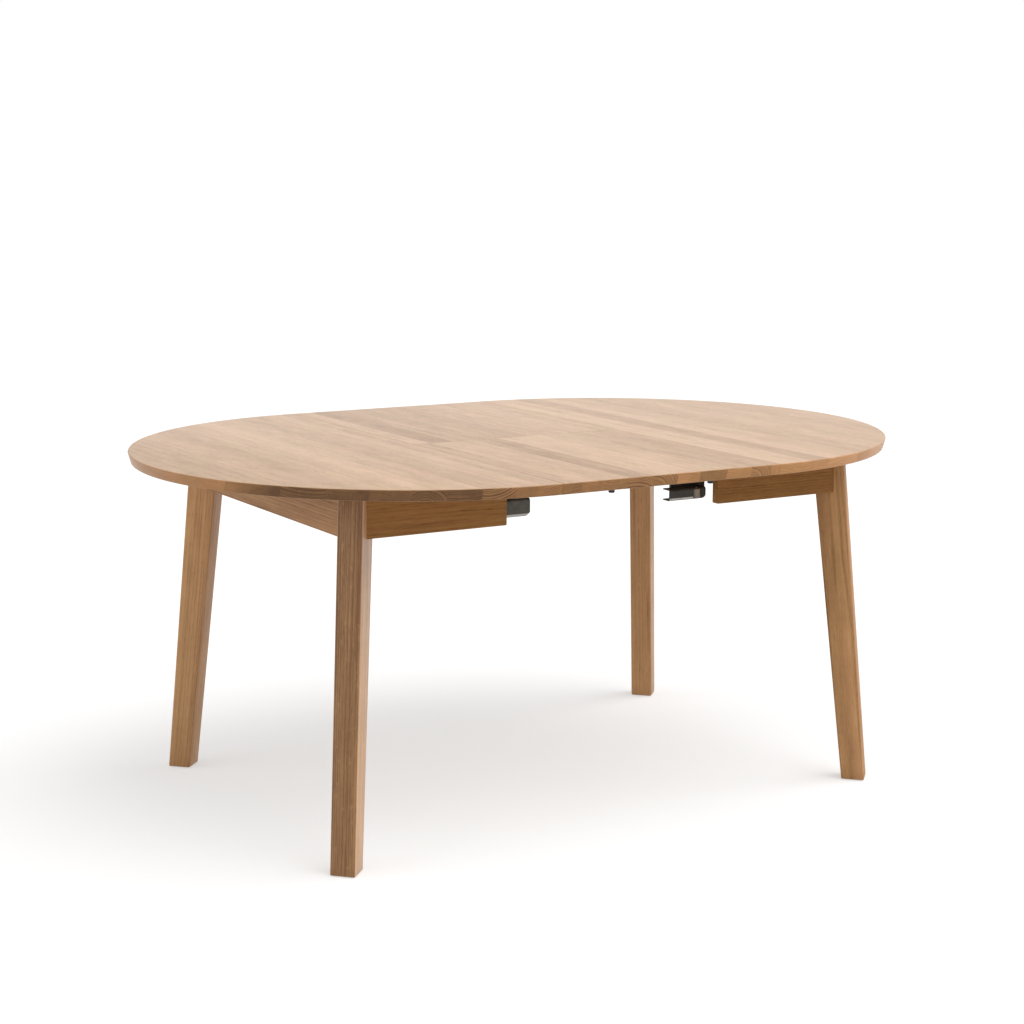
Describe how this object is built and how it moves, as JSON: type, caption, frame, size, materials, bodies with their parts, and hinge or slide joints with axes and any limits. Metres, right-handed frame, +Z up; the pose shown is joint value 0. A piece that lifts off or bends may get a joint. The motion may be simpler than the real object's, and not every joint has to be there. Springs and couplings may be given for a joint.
{
  "type": "extension dining table",
  "caption": "Extension table with two half-round tops on splayed legs, pulled apart on steel runners, with a folding leaf between them.",
  "frame": {"origin": "on the floor, under the middle of the open table", "axes": "+X along the table from the left half to the right half, +Y across it from front to back, +Z up"},
  "size_m": [1.6698, 1.17, 0.74],
  "materials": {
    "oak_top": "matt white-oiled oak",
    "oak_leg": "matt white-oiled oak",
    "oak_apron": "matt white-oiled oak",
    "dark_steel": "black zinc, satin",
    "zinc_steel": "bright zinc",
    "brass": "plain brass",
    "nylon": "grey nylon, matt",
    "glide_plastic": "brown plastic, matt",
    "buffer_rubber": "black rubber"
  },
  "bodies": {
    "left_half": {"left_top": "oak_top", "left_end_apron": "oak_apron", "left_front_apron": "oak_apron", "left_back_apron": "oak_apron", "left_front_leg": "oak_leg", "left_back_leg": "oak_leg", "left_foot_glides": "glide_plastic", "left_corner_brackets": "zinc_steel", "left_hanger_bolts": "zinc_steel", "left_leg_nuts": "zinc_steel", "left_top_clips": "zinc_steel", "left_battens": "oak_apron", "left_batten_screws": "zinc_steel", "left_seam_tongues": "zinc_steel", "left_front_rail": "dark_steel", "left_back_rail": "dark_steel", "left_wood_screws": "zinc_steel", "left_front_guide_channel": "dark_steel", "left_back_guide_channel": "dark_steel"},
    "right_half": {"right_top": "oak_top", "right_end_apron": "oak_apron", "right_front_apron": "oak_apron", "right_back_apron": "oak_apron", "right_front_leg": "oak_leg", "right_back_leg": "oak_leg", "right_foot_glides": "glide_plastic", "right_corner_brackets": "zinc_steel", "right_hanger_bolts": "zinc_steel", "right_leg_nuts": "zinc_steel", "right_top_clips": "zinc_steel", "right_battens": "oak_apron", "right_batten_screws": "zinc_steel", "right_seam_tongues": "zinc_steel", "right_front_rail": "dark_steel", "right_back_rail": "dark_steel", "right_wood_screws": "zinc_steel"},
    "front_runner": {"front_runner_bar": "dark_steel", "front_runner_slides": "nylon", "front_guide_shoe": "dark_steel", "front_runner_pins": "zinc_steel"},
    "back_runner": {"back_runner_bar": "dark_steel", "back_runner_slides": "nylon", "back_guide_shoe": "dark_steel", "back_runner_pins": "zinc_steel"},
    "front_wheel": {"front_channel_wheel": "nylon"},
    "back_wheel": {"back_channel_wheel": "nylon"},
    "front_roller": {"front_guide_roller": "nylon"},
    "back_roller": {"back_guide_roller": "nylon"},
    "leaf_front": {"leaf_front_board": "oak_top", "leaf_front_batten": "oak_apron", "leaf_front_batten_screws": "zinc_steel", "leaf_front_buffers": "buffer_rubber", "leaf_front_fold_hinges": "brass"},
    "leaf_back": {"leaf_back_board": "oak_top", "leaf_back_batten": "oak_apron", "leaf_back_batten_screws": "zinc_steel", "leaf_back_buffers": "buffer_rubber", "leaf_back_fold_hinges": "brass"}
  },
  "joints": [
    {"name": "right_half_slide", "type": "slide", "parent": "left_half", "child": "right_half", "axis": [1, 0, 0], "range_m": [-0.5, 0]},
    {"name": "front_runner_slide", "type": "slide", "parent": "left_half", "child": "front_runner", "axis": [1, 0, 0], "range_m": [-0.25, 0]},
    {"name": "back_runner_slide", "type": "slide", "parent": "left_half", "child": "back_runner", "axis": [1, 0, 0], "range_m": [-0.25, 0]},
    {"name": "front_wheel_spin", "type": "hinge", "parent": "front_runner", "child": "front_wheel", "pos_m": [-0.215, -0.349, 0.6575], "axis": [0, 1, 0], "range_deg": [-977, 0]},
    {"name": "back_wheel_spin", "type": "hinge", "parent": "back_runner", "child": "back_wheel", "pos_m": [-0.215, 0.349, 0.6575], "axis": [0, 1, 0], "range_deg": [-977, 0]},
    {"name": "front_roller_spin", "type": "hinge", "parent": "front_runner", "child": "front_roller", "pos_m": [0.216, -0.3526, 0.652], "axis": [0, 0, 1], "range_deg": [-1595, 0]},
    {"name": "back_roller_spin", "type": "hinge", "parent": "back_runner", "child": "back_roller", "pos_m": [0.216, 0.3526, 0.652], "axis": [0, 0, 1], "range_deg": [0, 1595]},
    {"name": "leaf_lift", "type": "slide", "parent": "left_half", "child": "leaf_front", "axis": [0, 0, 1], "range_m": [0, 0.75]},
    {"name": "leaf_fold", "type": "hinge", "parent": "leaf_front", "child": "leaf_back", "pos_m": [0, 0, 0.7405], "axis": [1, 0, 0], "range_deg": [0, 180]}
  ],
  "couplings": [
    {"joint": "front_runner_slide", "follows": "right_half_slide", "ratio": 0.5},
    {"joint": "back_runner_slide", "follows": "right_half_slide", "ratio": 0.5},
    {"joint": "front_wheel_spin", "follows": "right_half_slide", "rad_per_m": 34.014},
    {"joint": "back_wheel_spin", "follows": "right_half_slide", "rad_per_m": 34.014},
    {"joint": "front_roller_spin", "follows": "right_half_slide", "rad_per_m": 55.556},
    {"joint": "back_roller_spin", "follows": "right_half_slide", "rad_per_m": -55.556},
    {"joint": "leaf_lift", "follows": "right_half_slide", "ratio": -1.5}
  ]
}
